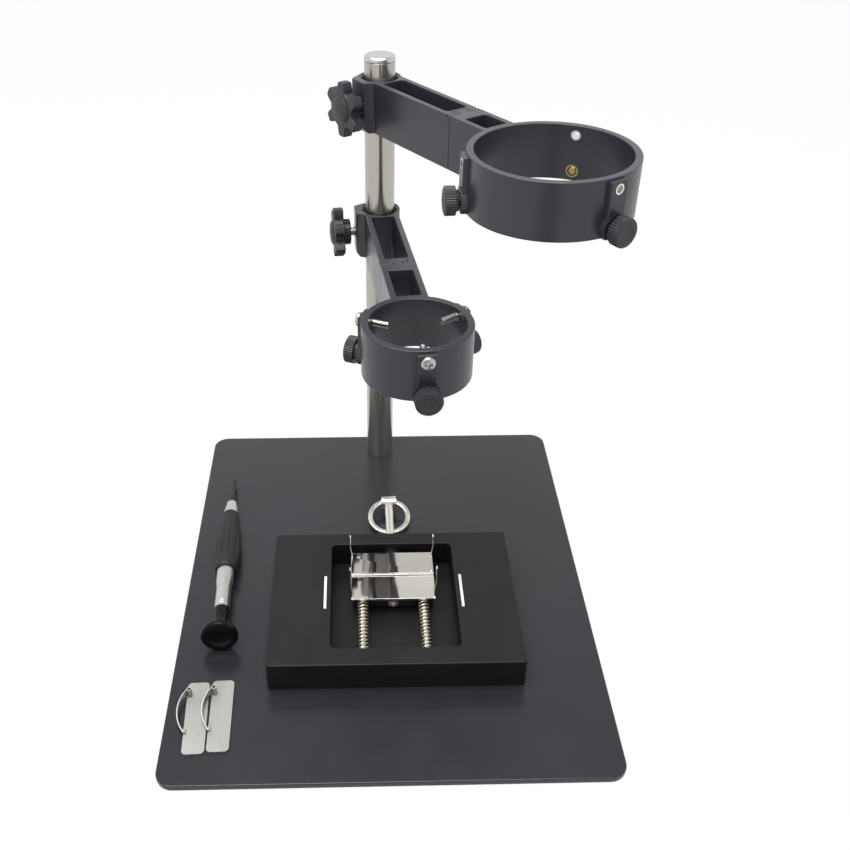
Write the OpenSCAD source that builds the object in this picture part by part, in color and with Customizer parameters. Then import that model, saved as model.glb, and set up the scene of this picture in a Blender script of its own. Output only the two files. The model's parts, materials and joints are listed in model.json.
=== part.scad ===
// Board rework stand with two clamp-ring arms, chip jig and loose kit.
// Origin: centre of the base plate underside. X right, Y back, Z up. Millimetres.

/* [Base] */
// Base plate width
plate_w = 200; // [150:1:260]
// Base plate depth
plate_d = 250; // [200:1:320]
// Base plate thickness
plate_t = 3; // [3:0.5:6]
// Base plate corner radius
plate_r = 8; // [2:0.5:20]
// Foot screw thread diameter
foot_d = 5; // [4:0.5:6]
// Foot screw head height
foot_head = 2.5; // [2:0.1:2.8]

/* [Post] */
// Post diameter
post_d = 15; // [12:0.5:20]
// Post wall
post_wall = 1.5; // [1:0.25:2.5]
// Post height above the plate
post_h = 230.5; // [200:0.5:300]
// Post axis distance from the plate's back edge
post_back = 13.7; // [12:0.1:30]
// Post cap height above the tube
cap_t = 2.5; // [2:0.1:5]
// Post cap length inside the tube
cap_in = 6.5; // [4:0.5:15]
// Foot plug length
plug_l = 22; // [20:0.5:40]

/* [Arms] */
// Height of arms, clamps and rings
arm_h = 24; // [20:0.5:30]
// Arm width
arm_w = 17; // [14:0.5:20]
// Arm side wall
arm_wall = 2.8; // [2:0.1:4]
// Post axis to the seam between the arm halves
seam_u = 65; // [55:0.5:75]
// Post axis to ring centre
ring_u = 121.5; // [112:0.5:140]
// Upper arm top below the post's top
upper_drop = 10; // [6:0.5:25]
// Lower arm top below the post's top
lower_drop = 76.5; // [60:0.5:100]
// Upper arm swing from straight ahead
upper_swing = 33.6; // [0:0.1:60]
// Lower arm swing from straight ahead
lower_swing = 6.3; // [-30:0.1:30]
// Bush wall
bush_t = 1; // [0.8:0.1:1.5]
// Clamp wall round the bush
clamp_wall = 1.7; // [1.5:0.1:3]
// Clamp boss beyond the clamp wall
boss_out = 2.6; // [2:0.1:5]
// Clamp boss width
boss_w = 10.8; // [8:0.1:14]
// Wall between the seam and the arm's pocket
splice_wall = 5.6; // [5:0.1:9]
// Wall between the seam and the ring neck's pocket
neck_wall = 7; // [4:0.1:9]
// Splice key head width
key_w = 9; // [7:0.1:11]
// Splice key head length
key_t = 1.8; // [1:0.1:2.5]
// Splice key neck width
key_neck = 4.2; // [3:0.1:5]
// Splice key neck length
key_in = 2; // [1:0.1:2.5]

/* [Rings] */
// Upper ring bore
upper_bore = 64; // [50:0.5:66]
// Lower ring bore
lower_bore = 42; // [34:0.5:50]
// Ring wall
ring_wall = 3.1; // [2.4:0.1:5]
// Pad width
pad_w = 8.6; // [7:0.1:12]
// Pad proud of the ring
pad_t = 1.9; // [1:0.1:3]
// Pad top below the ring's top face
pad_drop = 1; // [0:0.1:2]
// Lower row of holes above the ring's bottom face
hole_in = 4.1; // [3.8:0.1:6.5]
// Upper row of holes below the ring's top face
hole_top = 4.2; // [4:0.1:6.5]
// Thumbscrew boss proud of the ring
low_boss = 2.2; // [2:0.1:5]
// Thumbscrew boss diameter
low_d = 11.6; // [7.5:0.1:13]
// Upper row insert diameter
ins_d = 4.4; // [3.8:0.1:5]
// Lower row insert diameter
brass_d = 5.6; // [5:0.1:6.2]
// Thumbscrew head diameter
thumb_d = 12.2; // [9:0.1:13]
// Thumbscrew head thickness
thumb_t = 4.4; // [3:0.1:7]
// Thumbscrew collar diameter
collar_d = 8.8; // [6:0.1:9]
// Thumbscrew collar length
collar_t = 1.4; // [0.5:0.1:3]
// Thumbscrew knurl ridges
knurls = 36; // [20:1:40]
// Ring screw thread diameter
screw_d = 2.8; // [2:0.1:3]
// Ring screw length inside the ring
screw_in = 7.8; // [4:0.1:12]

/* [Clamp knobs] */
// Stud thread diameter, knobs and thumbscrews
stud_d = 4; // [3:0.1:4.4]
// Star knob diameter over the lobes
star_d = 25.6; // [20:0.2:30]
// Star knob head thickness
star_t = 5.2; // [4:0.1:8]
// Depth of the hollows between the lobes
star_dip = 4.2; // [2:0.1:5]
// Star knob hub radius
hub_r = 6.5; // [5:0.1:8]
// Star knob hub length
hub_t = 3.6; // [2:0.1:5]
// Ribs round the hub
ribs = 12; // [8:1:18]
// Rib height
rib_h = 0.6; // [0.3:0.1:1]
// Lower knob stand-off from its boss
lower_off = 2.6; // [0.4:0.1:4]
// Upper knob stand-off from its boss
upper_off = 1; // [0.4:0.1:4]

/* [Jig] */
// Jig width
jig_w = 118.4; // [100:0.2:140]
// Jig depth
jig_d = 90; // [86:0.5:110]
// Jig height
jig_h = 15.5; // [14.5:0.1:20]
// Jig centre, sideways
jig_x = 3.5; // [-10:0.1:10]
// Jig centre, back
jig_y = -28.9; // [-60:0.1:-20]
// Jig corner radius
jig_r = 2; // [1:0.1:6]
// Jig floor under the recess
jig_floor = 2; // [1.5:0.1:3]
// Recess width
rec_w = 60.7; // [50:0.1:66]
// Front wall of the recess
wall_f = 10.3; // [8:0.1:14]
// Back wall of the recess
wall_b = 8.4; // [6:0.1:12]
// Recess corner radius
rec_r = 3; // [1:0.1:6]
// Side slot distance from the jig's middle
slot_x = 33.1; // [32.5:0.1:40]
// Side slot length
slot_l = 22.4; // [16:0.1:30]
// Side slot width
slot_w = 1.5; // [1.2:0.1:3]
// Side slot depth
slot_h = 9; // [5:0.5:12]

/* [Jaws] */
// Jaw width
jaw_w = 41.2; // [38:0.1:46]
// Jaw seam, back from the jig's middle
jaw_mid = 16.8; // [14:0.1:18]
// Jaw top above the base plate
jaw_z = 12; // [11:0.1:14]
// Jaw plate thickness
jaw_t = 1.2; // [0.8:0.1:2]
// Front jaw plate depth
jaw_f = 15.85; // [12:0.05:18]
// Rear jaw plate depth
jaw_b = 15.45; // [12:0.05:17]
// Front jaw plate slope
tip_f = 1.6; // [0:0.1:3]
// Rear jaw plate slope
tip_b = 4.2; // [0:0.1:6]
// Front jaw block depth
blk_f = 11.6; // [9:0.1:14]
// Rear jaw block depth
blk_b = 13.6; // [10:0.1:15]
// Front ear height above the jaw
ear_f = 18; // [10:0.5:22]
// Rear ear height above the jaw
ear_b = 14; // [10:0.5:20]
// Ear width
ear_w = 2.2; // [1.5:0.1:5]
// Ear sheet thickness
ear_t = 0.7; // [0.5:0.1:1.2]
// Ear distance from the plate's outer edge to its middle
ear_in = 1.85; // [1.6:0.05:4]
// Ear kink outwards
kink = 0.9; // [0.5:0.1:2.5]
// Lip height along the rear jaw's seam
lip_h = 1; // [0.4:0.1:2]
// Lip thickness
lip_t = 0.9; // [0.5:0.1:2]
// Jaw screw thread diameter
jscrew_d = 2.9; // [2:0.1:3]
// Rear jaw screws from the middle
jscrew_x = 8.5; // [6:0.1:11]
// Front jaw screws from the middle
fscrew_x = 7.2; // [6:0.1:9]
// Rod height above the base plate
rod_z = 6.6; // [6:0.1:7.5]
// Guide rod diameter
grod_d = 3.2; // [2.5:0.1:3.6]
// Guide rods from the middle
grod_x = 15; // [13:0.1:16]
// Guide rod length in the jig's walls
grod_in = 4.8; // [3:0.1:6]
// Spring mean diameter
coil_d = 4.9; // [4.6:0.1:5.2]
// Spring wire diameter
wire_d = 0.8; // [0.5:0.02:1]
// Push rod diameter
rod_d = 4.6; // [4:0.1:5]
// Push rod free length behind the jig
rod_out = 36.3; // [34:0.1:45]
// Push rod eye diameter
eye_d = 7; // [6.6:0.1:9]
// Push rod eye width
eye_t = 8; // [4:0.1:9]
// Pull ring outer diameter
loop_d = 23.3; // [21:0.1:25]
// Pull ring band width
loop_wire = 2.8; // [2:0.1:3]
// Pull ring band thickness
loop_h = 2.1; // [1.6:0.1:2.4]
// Spring coils
coils = 17; // [10:1:20]

/* [Driver] */
// Driver axis, sideways
drv_x = -79.3; // [-84:0.1:-74]
// Driver cap end, back
drv_y = -49.9; // [-60:0.1:-40]
// Driver turn, back end to the left
drv_turn = 2.2; // [-3:0.1:4]
// Grip diameter
grip_d = 13; // [11:0.1:15]
// Grip flutes
flutes = 10; // [6:1:14]
// Cap diameter
cap_d = 17.8; // [16:0.1:20]
// Cap length
cap_l = 7; // [6:0.1:9]
// Neck length
neck_l = 12.05; // [8:0.05:15]
// Barrel length
barrel_l = 28.55; // [24:0.05:40]
// Barrel diameter
barrel_d = 8.4; // [7.4:0.1:9]
// Grip length
grip_l = 46.4; // [40:0.1:60]
// Ferrule length
ferrule_l = 10; // [8:0.1:16]
// Blade length beyond the ferrule
blade_l = 25.5; // [18:0.1:40]
// Blade diameter at the ferrule
blade_d = 4; // [3:0.1:4.6]
// Blade diameter at the tip
tip_d = 2.5; // [2:0.1:3]

/* [Clips] */
// Clip plate width
clip_w = 9.8; // [8:0.1:11]
// Clip plate length
clip_l = 39.6; // [34:0.1:46]
// Clip plate thickness
clip_t = 1.2; // [0.8:0.1:2]
// Clip corner radius
clip_r = 2; // [0.5:0.1:3]
// Clip leaf bulge
leaf_b = 3.6; // [2:0.1:4]
// Clip leaf length
leaf_l = 22; // [18:0.1:28]
// Clip leaf height at its free end
leaf_h = 3.6; // [2:0.1:5]
// Clip leaf thickness
leaf_t = 0.5; // [0.4:0.1:1]
// Left clip middle, sideways
clip_x = -86.1; // [-90:0.1:-80]
// Left clip middle, back
clip_y = -89.9; // [-100:0.1:-80]
// Right clip beside the left one
clip_dx = 10.8; // [10.6:0.1:16]
// Right clip behind the left one
clip_dy = 1; // [-5:0.1:5]
// Left clip turn
clip_a = 2.5; // [-5:0.1:5]
// Right clip turn
clip_b = 1.4; // [-5:0.1:3]

/* [Hidden] */
$fn = 72;
run = 0.05;
snug = 0.02;
seat = 0.05;
free = 0.4;
cut = 1;
top = plate_t;
post_r = post_d / 2;
post_y = plate_d / 2 - post_back;
foot_r = foot_d / 2;
tube_r = post_r - post_wall;
bore_r = post_r + bush_t + 2 * run;
clamp_r = bore_r + clamp_wall;
boss_v = clamp_r + boss_out;
pk_w = arm_w - 2 * arm_wall;
pk_u = clamp_r + 0.6;
wall_u = seam_u - splice_wall;
key_gap = 0.25;
z_up = top + post_h - upper_drop - arm_h;
z_lo = top + post_h - lower_drop - arm_h;
ru = upper_bore / 2;
rl = lower_bore / 2;
stud_r = stud_d / 2;
tap3 = screw_d / 2 + run;
tap4 = stud_r + run;
rec_f = -jig_d / 2 + wall_f;
rec_b = jig_d / 2 - wall_b;
slot_y = jaw_mid - 15;
jaw_gap = 0.15;
blk_in = 0.8;
blk_y = jaw_mid - free - blk_f;
grod_r = grod_d / 2;
jscrew_r = jscrew_d / 2;
jscrew_y = jaw_mid + free + blk_b / 2;
fscrew_z = min(rod_z + 2, jaw_z - jaw_t + tip_z(blk_y - 1.2, tip_f) - 0.58 * jscrew_d - 0.15);
rod_r = rod_d / 2;
guide_r = rod_r + 1.5;
eye_y = jig_d / 2 + rod_out;
loop_r = (loop_d - loop_wire) / 2;
loop_sag = loop_r - sqrt(loop_r * loop_r - eye_t * eye_t / 4);
loop_tilt = asin((rod_z - loop_h / 2 - seat) / (2 * loop_r + loop_wire / 2 - loop_sag / 2));
eye_r = norm([loop_wire, loop_h]) / 2 + loop_sag / 2 + 0.2;
blade_r = blade_d / 2;
barrel_r = barrel_d / 2;
pin_r = 1.5;
core_r = 3;
rim_s = 0.36 * cap_l;
neck_s = cap_l + free;
barrel_s = neck_s + neck_l + seat;
grip_s = barrel_s + barrel_l + seat;
ferrule_s = grip_s + grip_l + seat;
blade_s = ferrule_s + ferrule_l;
tip_s = blade_s + blade_l;
rest_s = grip_s + 0.44 * grip_l;
drv_tilt = atan((cap_d - grip_d) / 2 / (rest_s - rim_s));

// Shared shapes
module rrect(w, d, r) {
  square([w - 2 * r, d], center = true);
  square([w, d - 2 * r], center = true);
  for (sx = [-1, 1])
    for (sy = [-1, 1])
      translate([sx * (w / 2 - r), sy * (d / 2 - r)])
        circle(r = r);
}

module along_x(x0) {
  translate([x0, 0, 0])
    rotate([0, 90, 0])
      children();
}

module along_y(y0) {
  translate([0, y0, 0])
    rotate([-90, 0, 0])
      children();
}

// Arm frame: origin on the post axis at the arm's underside, X along the arm
module at_arm(z, swing) {
  translate([0, post_y, z])
    rotate([0, 0, swing - 90])
      children();
}

// One pad direction of a ring, X pointing out of the ring
module at_pad(z, swing, k, up) {
  at_arm(z, swing)
    translate([ring_u, 0, up ? arm_h - hole_top : hole_in])
      rotate([0, 0, 120 * (k - 1)])
        children();
}

module cross_recess(r, deep) {
  for (a = [0, 90])
    rotate([0, 0, a])
      translate([-r, -0.3 * r, -deep])
        cube([2 * r, 0.6 * r, deep + cut]);
}

// Pan head screw along Z: head above 0, shank below
module pan_screw(head_r, head_t, shank_r, len) {
  difference() {
    union() {
      rotate_extrude()
        polygon([[0, 0], [head_r, 0], [head_r, 0.5 * head_t], [0.86 * head_r, 0.84 * head_t],
                 [0.5 * head_r, head_t], [0, head_t]]);
      translate([0, 0, -len])
        cylinder(r = shank_r, h = len + 0.1);
    }
    translate([0, 0, head_t])
      cross_recess(0.55 * head_r, 0.6 * head_t);
  }
}

// Base and post
module base_plate() {
  hole_r = foot_r + 0.3;
  color([0.16, 0.16, 0.18])
    difference() {
      linear_extrude(plate_t)
        rrect(plate_w, plate_d, plate_r);
      translate([0, post_y, -cut])
        cylinder(r = hole_r, h = plate_t + 2 * cut);
      translate([0, post_y, -0.01])
        cylinder(r1 = hole_r + foot_head, r2 = hole_r, h = foot_head);
    }
}

module post_tube() {
  color([0.85, 0.85, 0.86])
    translate([0, post_y, top])
      difference() {
        cylinder(r = post_r, h = post_h - cap_t);
        translate([0, 0, -cut])
          cylinder(r = tube_r, h = post_h + 2 * cut);
      }
}

module post_cap() {
  color([0.85, 0.85, 0.86])
    translate([0, post_y, top + post_h - cap_t])
      rotate_extrude()
        polygon([[0, -cap_in], [tube_r - snug, -cap_in], [tube_r - snug, snug], [post_r - 0.25, snug],
                 [post_r, 0.3], [post_r, cap_t - 0.7], [post_r - 0.7, cap_t], [0, cap_t]]);
}

module post_plug() {
  color([0.6, 0.6, 0.62])
    translate([0, post_y, top])
      difference() {
        cylinder(r = tube_r - snug, h = plug_l);
        translate([0, 0, -cut])
          cylinder(r = foot_r + run, h = plug_l - 3);
      }
}

module post_screw() {
  color([0.5, 0.5, 0.52])
    translate([0, post_y, 0])
      difference() {
        union() {
          translate([0, 0, 0.1])
            cylinder(r1 = foot_r + foot_head + 0.15, r2 = foot_r, h = foot_head);
          translate([0, 0, cut])
            cylinder(r = foot_r, h = plug_l - 5);
        }
        translate([0, 0, -cut])
          cylinder(r = 0.68 * foot_r, h = cut + 0.64 * foot_head, $fn = 6);
      }
}

// Arm sub-parts, clamp knob on local -Y
module bush(z, swing) {
  slit = 1.6;
  lip = 2;
  color([0.1, 0.1, 0.11])
    at_arm(z, swing)
      translate([0, 0, lip])
        linear_extrude(arm_h - 2 * lip)
          difference() {
            circle(r = post_r + run + bush_t);
            circle(r = post_r + run);
            translate([0, -slit / 2])
              square([2 * post_r, slit]);
          }
}

module key_plan(gap) {
  translate([seam_u - key_in - gap, -key_neck / 2 - gap])
    square([key_in + 0.3 + gap, key_neck + 2 * gap]);
  translate([seam_u - key_in - key_t - gap, -key_w / 2 - gap])
    square([key_t + 0.2 + 2 * gap, key_w + 2 * gap]);
}

module arm_half(z, swing) {
  mouth = 1;
  slope = 2.4;
  bx = boss_w / 2;
  nut_r = stud_r + 1.2;
  color([0.2, 0.2, 0.22])
    at_arm(z, swing)
      difference() {
        linear_extrude(arm_h)
          difference() {
            union() {
              circle(r = clamp_r);
              polygon([[-0.89 * clamp_r, -0.455 * clamp_r], [-bx, -boss_v + 0.8], [-bx + 0.8, -boss_v],
                       [bx - 0.8, -boss_v], [bx, -boss_v + 0.8], [0.89 * clamp_r, -0.455 * clamp_r], [0, 0]]);
              translate([0, -arm_w / 2])
                square([seam_u, arm_w]);
            }
            circle(r = bore_r);
            translate([(pk_u + wall_u) / 2, 0])
              rrect(wall_u - pk_u, pk_w, 1.4);
            key_plan(key_gap);
          }
        translate([0, 0, arm_h - mouth])
          cylinder(r1 = bore_r, r2 = bore_r + mouth + 0.01, h = mouth + 0.01);
        translate([0, 0, -0.01])
          cylinder(r1 = bore_r + mouth + 0.01, r2 = bore_r, h = mouth + 0.01);
        translate([0, -bore_r + cut, arm_h / 2])
          rotate([90, 0, 0])
            cylinder(r = nut_r, h = boss_v);
        translate([-0.75 * boss_w, -boss_v - 0.01, -0.01])
          rotate([90, 0, 90])
            linear_extrude(1.5 * boss_w)
              polygon([[0, 0], [0.83 * slope, 0], [0, slope]]);
        for (s = [-1, 1])
          translate([seam_u - key_in, s * (arm_w / 2), arm_h - cut])
            cylinder(r = 0.8, h = 2 * cut);
      }
}

module ring_half(z, swing, r) {
  ro = r + ring_wall;
  pk_0 = seam_u + neck_wall;
  pk_1 = ring_u - ro - 0.4;
  color([0.2, 0.2, 0.22])
    at_arm(z, swing)
      difference() {
        union() {
          linear_extrude(arm_h)
            difference() {
              union() {
                translate([ring_u, 0])
                  circle(r = ro);
                translate([seam_u + 0.1, -arm_w / 2])
                  square([ring_u - r - cut - seam_u, arm_w]);
                key_plan(0);
              }
              translate([ring_u, 0])
                circle(r = r);
              translate([(pk_0 + pk_1) / 2, 0])
                rrect(pk_1 - pk_0, pk_w, 1.2);
            }
          for (k = [1:3])
            translate([ring_u, 0, 0])
              rotate([0, 0, 120 * (k - 1)]) {
                translate([r + 0.3 * ring_wall, -pad_w / 2, 0])
                  cube([0.7 * ring_wall + pad_t, pad_w, arm_h - pad_drop]);
                intersection() {
                  translate([0, 0, hole_in])
                    along_x(r + 0.3 * ring_wall)
                      cylinder(d = low_d, h = 0.7 * ring_wall + low_boss);
                  translate([r, -low_d, 0])
                    cube([ring_wall + low_boss + cut, 2 * low_d, arm_h]);
                }
              }
        }
        for (k = [1:3])
          translate([ring_u, 0, 0])
            rotate([0, 0, 120 * (k - 1)]) {
              translate([0, 0, hole_in])
                along_x(r - 2)
                  cylinder(d = brass_d, h = ring_wall + low_boss + 5);
              translate([0, 0, arm_h - hole_top])
                along_x(r - 2)
                  cylinder(d = ins_d, h = ring_wall + low_boss + 5);
            }
      }
}

module clamp_nut(z, swing) {
  color([0.72, 0.58, 0.3])
    at_arm(z, swing)
      translate([0, 0, arm_h / 2])
        rotate([90, 0, 0])
          translate([0, 0, bore_r + 0.5])
            difference() {
              cylinder(r = stud_r + 1.2 - snug, h = boss_v - bore_r - 1.1);
              translate([0, 0, -cut])
                cylinder(r = tap4, h = boss_v);
            }
}

module inserts(z, swing, r, up) {
  oi = (up ? ins_d : brass_d) / 2;
  ti = up ? tap3 : tap4;
  out = up ? pad_t : low_boss - 0.6;
  color(up ? [0.7, 0.7, 0.72] : [0.72, 0.58, 0.3])
    for (k = [1:3])
      at_pad(z, swing, k, up)
        along_x(r + 0.2)
          difference() {
            cylinder(r = oi - snug, h = ring_wall + out - 0.1);
            translate([0, 0, -cut])
              cylinder(r = ti, h = ring_wall + out + 2 * cut);
          }
}

module knob_at(z, swing) {
  at_arm(z, swing)
    translate([0, 0, arm_h / 2])
      rotate([90, 0, 0])
        children();
}

module star(z, swing, off) {
  lobes = 6;
  dome = 1.85;
  color([0.09, 0.09, 0.1])
    knob_at(z, swing)
      translate([0, 0, boss_v + off])
        difference() {
          union() {
            linear_extrude(hub_t + 0.1)
              polygon([for (i = [0:ribs - 1], j = [0:3])
                let (a = 360 / ribs * (i + [0.2, 0.28, 0.72, 0.8][j]), q = hub_r - [rib_h, 0, 0, rib_h][j])
                [q * cos(a), q * sin(a)]]);
            translate([0, 0, hub_t])
              linear_extrude(star_t)
                polygon([for (i = [0:119])
                  let (a = 3 * i, q = (star_d - star_dip * (1 - max(-1, min(1, 1.7 * cos(lobes * a))))) / 2)
                  [q * sin(a), q * cos(a)]]);
            translate([0, 0, hub_t + star_t])
              rotate_extrude()
                polygon([[0, -0.1], [hub_r, -0.1], [hub_r, 0.2], [0.86 * hub_r, 0.6 * dome],
                         [0.62 * hub_r, 0.86 * dome], [0.3 * hub_r, 0.97 * dome], [0, dome]]);
          }
          translate([0, 0, -cut])
            cylinder(r = stud_r + snug, h = hub_t + 0.55 * star_t + cut);
        }
}

module knob_stud(z, swing, off) {
  s0 = post_r + run + bush_t + 0.15;
  s1 = boss_v + off + hub_t + 0.45 * star_t;
  color([0.7, 0.7, 0.72])
    knob_at(z, swing)
      rotate_extrude()
        polygon([[0, s0], [stud_r - 0.6, s0], [stud_r, s0 + 0.6], [stud_r, s1], [0, s1]]);
}

module thumb(z, swing, r, k) {
  tr = thumb_d / 2;
  x0 = r + ring_wall + low_boss + free;
  rim = 0.5;
  color([0.09, 0.09, 0.1])
    at_pad(z, swing, k, false)
      along_x(x0)
        difference() {
          union() {
            cylinder(d = collar_d, h = collar_t);
            translate([0, 0, collar_t - 0.1])
              linear_extrude(thumb_t)
                polygon([for (i = [0:2 * knurls - 1])
                  let (q = i % 2 == 0 ? tr : tr - 0.35, a = 180 * i / knurls)
                  [q * cos(a), q * sin(a)]]);
            translate([0, 0, collar_t + thumb_t - 0.2])
              cylinder(r1 = tr - rim - 0.1, r2 = tr - 2 * rim - 0.1, h = rim);
          }
          translate([0, 0, collar_t + thumb_t])
            cylinder(r1 = 0.46 * tr, r2 = 0.54 * tr, h = rim);
          translate([0, 0, -cut])
            cylinder(r = stud_r + snug, h = cut + collar_t + 0.55 * thumb_t);
        }
}

module thumb_stud(z, swing, r, k) {
  len = ring_wall + low_boss + free + collar_t + 0.45 * thumb_t;
  color([0.72, 0.58, 0.3])
    at_pad(z, swing, k, false)
      along_x(r + 0.25)
        rotate_extrude()
          polygon([[0, 0], [stud_r - 0.5, 0], [stud_r, 0.5], [stud_r, len - 0.25], [0, len - 0.25]]);
}

module set_screw(z, swing, r, k) {
  out = ring_wall + pad_t + 0.15;
  color([0.75, 0.75, 0.76])
    at_pad(z, swing, k, true)
      along_x(r + out)
        pan_screw(1.1 * screw_d, 0.71 * screw_d, screw_d / 2, out + screw_in);
}

// Jig, in its own frame: centre of its footprint on the base plate
module at_jig() {
  translate([jig_x, jig_y, top])
    children();
}

module jig_body() {
  color([0.13, 0.13, 0.14])
    at_jig()
      difference() {
        linear_extrude(jig_h)
          rrect(jig_w, jig_d, jig_r);
        translate([0, (rec_f + rec_b) / 2, jig_floor])
          linear_extrude(jig_h)
            rrect(rec_w, rec_b - rec_f, rec_r);
        for (s = [-1, 1]) {
          translate([s * slot_x - slot_w / 2, slot_y - slot_l / 2, jig_h - slot_h])
            cube([slot_w, slot_l, slot_h + cut]);
          translate([s * grod_x, 0, rod_z])
            along_y(rec_f - grod_in - 0.2)
              cylinder(r = grod_r + snug, h = rec_b - rec_f + 2 * grod_in + 0.4);
          translate([s * jscrew_x, jscrew_y, -cut])
            cylinder(r = jscrew_r + 0.15, h = jig_floor + 2 * cut);
          translate([s * jscrew_x, jscrew_y, -0.01])
            cylinder(r1 = 2 * jscrew_r + 0.2, r2 = jscrew_r + 0.1, h = jscrew_r + 0.25);
        }
        translate([0, 0, rod_z])
          along_y(rec_b - cut)
            cylinder(r = guide_r, h = wall_b + 2 * cut);
      }
}

module slot_strips() {
  color([0.8, 0.8, 0.8])
    at_jig()
      for (s = [-1, 1])
        translate([s * slot_x - slot_w / 2 + 0.1, slot_y - slot_l / 2 + 0.1, jig_h - slot_h])
          cube([slot_w - 0.2, slot_l - 0.2, slot_h + 0.2]);
}

module guide_rods() {
  color([0.75, 0.74, 0.7])
    at_jig()
      for (s = [-1, 1])
        translate([s * grod_x, 0, rod_z])
          along_y(rec_f - grod_in)
            cylinder(r = grod_r, h = rec_b - rec_f + 2 * grod_in);
}

module rod_guide() {
  flange = 1.35;
  flange_r = min(guide_r + 1.1, rod_z - jig_floor - 0.1);
  color([0.72, 0.58, 0.3])
    at_jig()
      translate([0, 0, rod_z])
        along_y(rec_b - flange - seat)
          difference() {
            union() {
              cylinder(r = flange_r, h = flange);
              cylinder(r = guide_r - snug, h = wall_b + flange - 0.15);
            }
            translate([0, 0, -cut])
              cylinder(r = rod_r + run, h = wall_b + flange + 2 * cut);
          }
}

// Rise of a sloping jaw top at y, none at the seam
function tip_z(y, tip) = (y - jaw_mid) * tan(tip);

// Block under a jaw plate, its top sloped like the plate
module jaw_block(y0, y1, z0, tip) {
  z1 = jaw_z - jaw_t;
  translate([-jaw_w / 2 + blk_in, 0, 0])
    rotate([90, 0, 90])
      linear_extrude(jaw_w - 2 * blk_in)
        polygon([[y0, z0], [y1, z0], [y1, z1 + tip_z(y1, tip)], [y0, z1 + tip_z(y0, tip)]]);
}

module rear_jaw_block() {
  color([0.3, 0.3, 0.32])
    at_jig()
      difference() {
        jaw_block(jaw_mid + free, jaw_mid + free + blk_b, jig_floor, tip_b);
        translate([0, 0, rod_z])
          along_y(jaw_mid)
            cylinder(r = rod_r + free, h = blk_b + 2 * cut);
        for (s = [-1, 1]) {
          translate([s * grod_x, 0, rod_z])
            along_y(jaw_mid)
              cylinder(r = grod_r + snug, h = blk_b + 2 * cut);
          translate([s * jscrew_x, jscrew_y, 0])
            cylinder(r = jscrew_r + snug, h = rod_z + 1);
        }
      }
}

// Sloping plate from y0 to y1 with two thin kinked ears at its outer corners
module jaw_plate(y0, y1, tip, ear_y, ear_h) {
  foot = jaw_z - jaw_t + tip_z(ear_y - ear_w / 2, tip);
  head = jaw_z + ear_h;
  low = jaw_z + 0.2 * ear_h;
  mid = jaw_z + 0.6 * ear_h;
  translate([-jaw_w / 2, 0, jaw_z])
    rotate([90, 0, 90])
      linear_extrude(jaw_w)
        polygon([[y0, tip_z(y0, tip) - jaw_t], [y1, tip_z(y1, tip) - jaw_t], [y1, tip_z(y1, tip)],
                 [y0, tip_z(y0, tip)]]);
  for (s = [-1, 1])
    scale([s, 1, 1])
      translate([jaw_w / 2 - ear_t, ear_y + ear_w / 2, 0])
        rotate([90, 0, 0])
          linear_extrude(ear_w)
            polygon([[0, foot + 0.3], [ear_t, foot + 0.3], [ear_t, low], [ear_t + kink, mid],
                     [ear_t + 0.6 * kink, head], [0.6 * kink, head], [kink, mid], [0, low]]);
}

module rear_jaw_plate() {
  y1 = jaw_mid + jaw_gap + jaw_b;
  color([0.85, 0.85, 0.86])
    at_jig() {
      jaw_plate(jaw_mid + jaw_gap, y1, tip_b, y1 - ear_in, ear_b);
      translate([-jaw_w / 2, jaw_mid + jaw_gap, jaw_z - 0.1])
        cube([jaw_w, lip_t, lip_h + 0.1]);
    }
}

module rear_jaw_screws() {
  color([0.7, 0.7, 0.72])
    at_jig()
      for (s = [-1, 1])
        translate([s * jscrew_x, jscrew_y, 0])
          difference() {
            union() {
              translate([0, 0, 0.15])
                cylinder(r1 = 2 * jscrew_r, r2 = jscrew_r, h = jscrew_r + 0.05);
              translate([0, 0, cut])
                cylinder(r = jscrew_r, h = rod_z - 0.6);
            }
            translate([0, 0, 0.15])
              mirror([0, 0, 1])
                cross_recess(jscrew_r, 0.6 * jscrew_r);
          }
}

module front_jaw_block() {
  color([0.3, 0.3, 0.32])
    at_jig()
      difference() {
        jaw_block(blk_y, blk_y + blk_f, jig_floor + free, tip_f);
        translate([0, 0, rod_z]) {
          along_y(blk_y - cut)
            cylinder(r = jscrew_r + run, h = blk_f + 2 * cut);
          along_y(blk_y + 3)
            cylinder(r = rod_r + snug, h = blk_f);
        }
        for (s = [-1, 1]) {
          translate([s * grod_x, 0, rod_z])
            along_y(blk_y - cut)
              cylinder(r = grod_r + run, h = blk_f + 2 * cut);
          translate([s * fscrew_x, 0, fscrew_z])
            along_y(blk_y - cut)
              cylinder(r = 0.28 * jscrew_d + snug, h = 5.2 + cut);
        }
      }
}

module front_jaw_plate() {
  y0 = jaw_mid - jaw_gap - jaw_f;
  color([0.85, 0.85, 0.86])
    at_jig()
      jaw_plate(y0, y0 + jaw_f, tip_f, y0 + ear_in, ear_f);
}

module front_jaw_screws() {
  color([0.7, 0.7, 0.72])
    at_jig()
      for (s = [-1, 1])
        translate([s * fscrew_x, blk_y - snug, fscrew_z])
          rotate([90, 0, 0])
            pan_screw(0.58 * jscrew_d, 0.35 * jscrew_d, 0.28 * jscrew_d, 4);
}

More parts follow.
